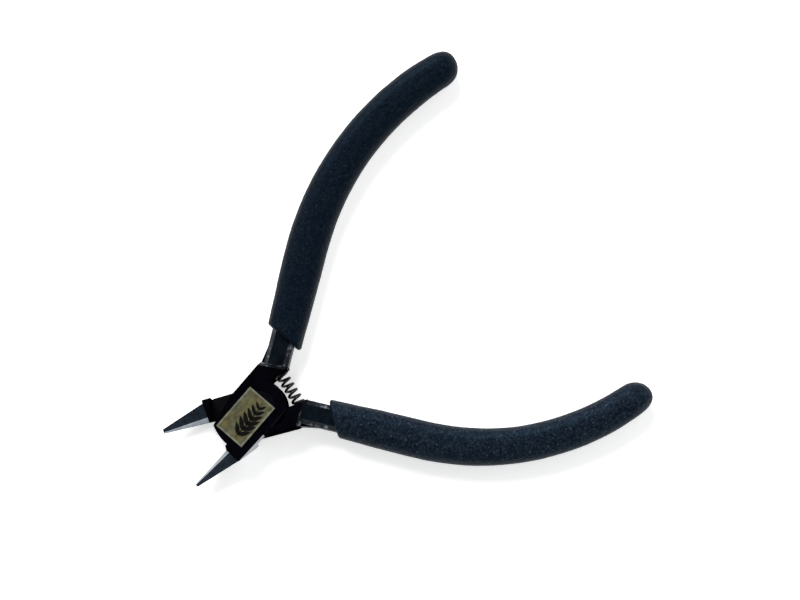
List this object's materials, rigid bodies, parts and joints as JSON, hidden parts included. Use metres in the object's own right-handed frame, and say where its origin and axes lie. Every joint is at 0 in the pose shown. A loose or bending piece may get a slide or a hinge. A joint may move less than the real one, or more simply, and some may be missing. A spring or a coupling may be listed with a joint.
{
  "type": "sprue nippers",
  "caption": "Small hand side-cutters for plastic model sprues, with pointed flush-ground jaws, a riveted lap joint, a return coil spring and curved soft-gripped handles.",
  "frame": {"origin": "on the pivot's axis at the joint's back face, the face that the tool lies on", "axes": "+X along the tool's centre line towards the jaw tips, +Z along the pivot's axis out of the nameplate side, +Y across the tool; the tool stands fully open"},
  "size_m": [0.114, 0.1074, 0.0088],
  "materials": {
    "lever_steel": "black oxide, semi-gloss, with ground jaws",
    "rivet_steel": "ground",
    "spring_steel": "black, semi-gloss",
    "grip_rubber": "matte, finely pebbled",
    "plate_metal": "dull satin",
    "film": "matte"
  },
  "bodies": {
    "lower_half": {"lower_lever": "lever_steel", "lower_grip": "grip_rubber", "pivot_rivet": "rivet_steel", "return_spring": "spring_steel"},
    "upper_half": {"upper_lever": "lever_steel", "upper_grip": "grip_rubber", "nameplate": "plate_metal", "nameplate_adhesive": "film"}
  },
  "joints": [
    {"name": "pivot", "type": "hinge", "parent": "lower_half", "child": "upper_half", "pos_m": [0, 0, 0], "axis": [0, 0, -1], "range_deg": [0, 34.6], "stiffness_Nm_per_rad": 0.6, "springref_deg": -8.59, "deforming": ["return_spring"]}
  ]
}
